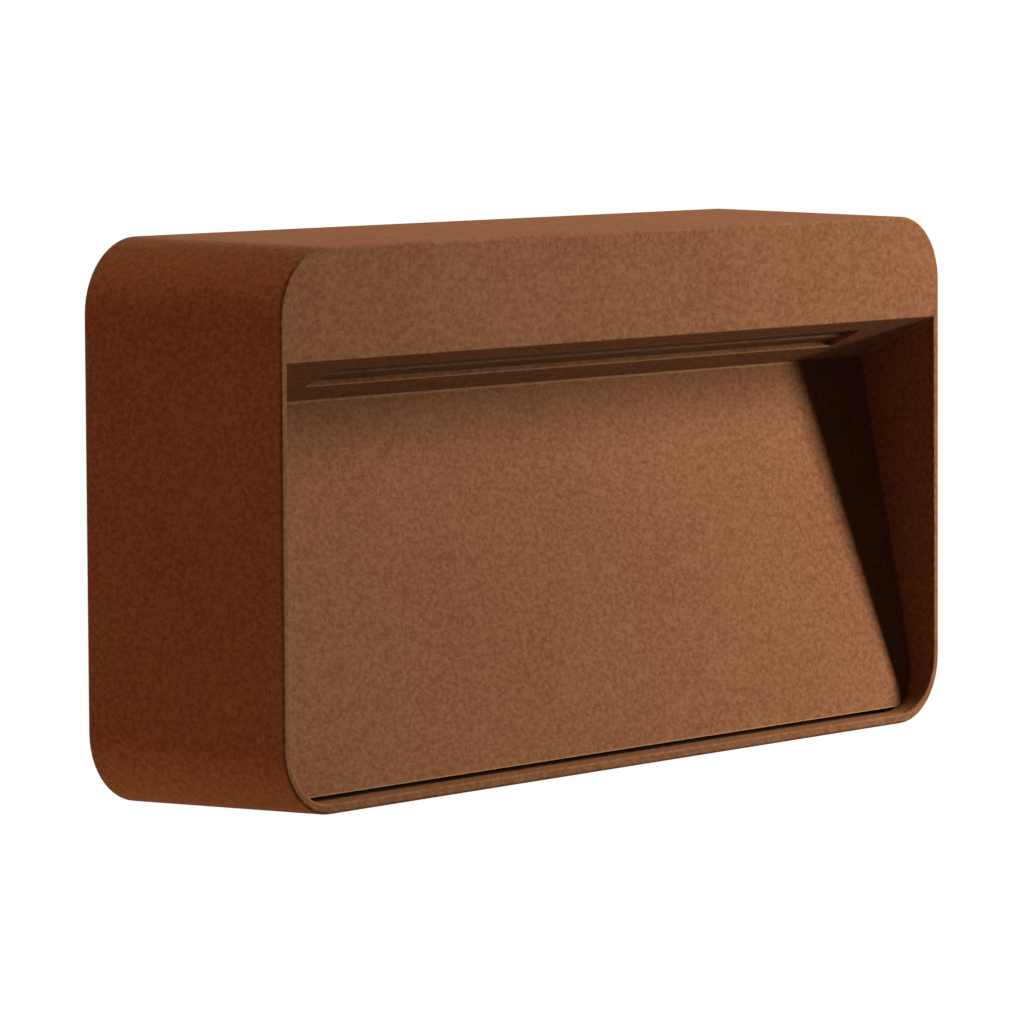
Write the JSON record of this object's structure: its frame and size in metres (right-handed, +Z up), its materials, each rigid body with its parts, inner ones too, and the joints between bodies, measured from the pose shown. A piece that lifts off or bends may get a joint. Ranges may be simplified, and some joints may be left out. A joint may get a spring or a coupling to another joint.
{
  "type": "step light",
  "caption": "Wall-mounted step light with a wedge-shaped recess; a glazed slot in its sloped ceiling lights a slanted panel.",
  "frame": {"origin": "on the wall plane, at the centre of the line through the two wall-screw slots", "axes": "+Z up, +X to the right of a person who faces the light, +Y into the wall; the light stands out towards -Y"},
  "size_m": [0.222, 0.05, 0.112],
  "materials": {
    "rust_coat": "textured powder coat, rust brown",
    "clear_glass": "clear",
    "black_seal": "matte",
    "spring_steel": "satin",
    "screw_steel": "satin",
    "bare_aluminium": "as cast",
    "board_white": "solder mask",
    "lamp_phosphor": "matte",
    "lead_sleeve": "matte",
    "earth_sleeve": "matte",
    "black_plastic": "matte",
    "contact_brass": "plain",
    "plate_grey": "smooth powder coat",
    "terminal_grey": "satin",
    "lever_orange": "satin",
    "case_white": "matte"
  },
  "bodies": {
    "wall_side": {"wall_plate": "plate_grey", "wall_gasket": "black_seal", "cable_grommet": "black_seal", "terminal_block": "terminal_grey", "lever_pin": "screw_steel", "terminal_screws": "screw_steel", "driver_case": "black_plastic", "driver_lid": "case_white", "driver_screws": "screw_steel", "earth_tag": "contact_brass", "earth_screw": "screw_steel", "link_socket": "black_plastic", "mains_leads": "lead_sleeve", "lamp_leads": "lead_sleeve", "earth_lead": "earth_sleeve"},
    "housing_side": {"housing": "rust_coat", "recess_panel": "rust_coat", "window_glass": "clear_glass", "window_gasket": "black_seal", "window_clamp": "spring_steel", "clamp_screws": "screw_steel", "led_carrier": "bare_aluminium", "led_board": "board_white", "led_chips": "lamp_phosphor", "board_screws": "screw_steel", "chamber_gasket": "black_seal", "carrier_screws": "screw_steel", "board_leads": "lead_sleeve", "breather_vent": "black_plastic", "link_plug": "black_plastic", "link_pins": "contact_brass", "panel_screws": "screw_steel", "release_screws": "screw_steel"},
    "lever_live_body": {"lever_live": "lever_orange"},
    "lever_earth_body": {"lever_earth": "lever_orange"},
    "lever_neutral_body": {"lever_neutral": "lever_orange"}
  },
  "joints": [
    {"name": "housing_draw_off", "type": "slide", "parent": "wall_side", "child": "housing_side", "axis": [0, -1, 0], "range_m": [0, 0.06]},
    {"name": "lever_live_turn", "type": "hinge", "parent": "wall_side", "child": "lever_live_body", "pos_m": [0.022, -0.0171, 0.0162], "axis": [-1, 0, 0], "range_deg": [0, 90]},
    {"name": "lever_earth_turn", "type": "hinge", "parent": "wall_side", "child": "lever_earth_body", "pos_m": [0.03, -0.0171, 0.0162], "axis": [-1, 0, 0], "range_deg": [0, 90]},
    {"name": "lever_neutral_turn", "type": "hinge", "parent": "wall_side", "child": "lever_neutral_body", "pos_m": [0.038, -0.0171, 0.0162], "axis": [-1, 0, 0], "range_deg": [0, 90]}
  ]
}
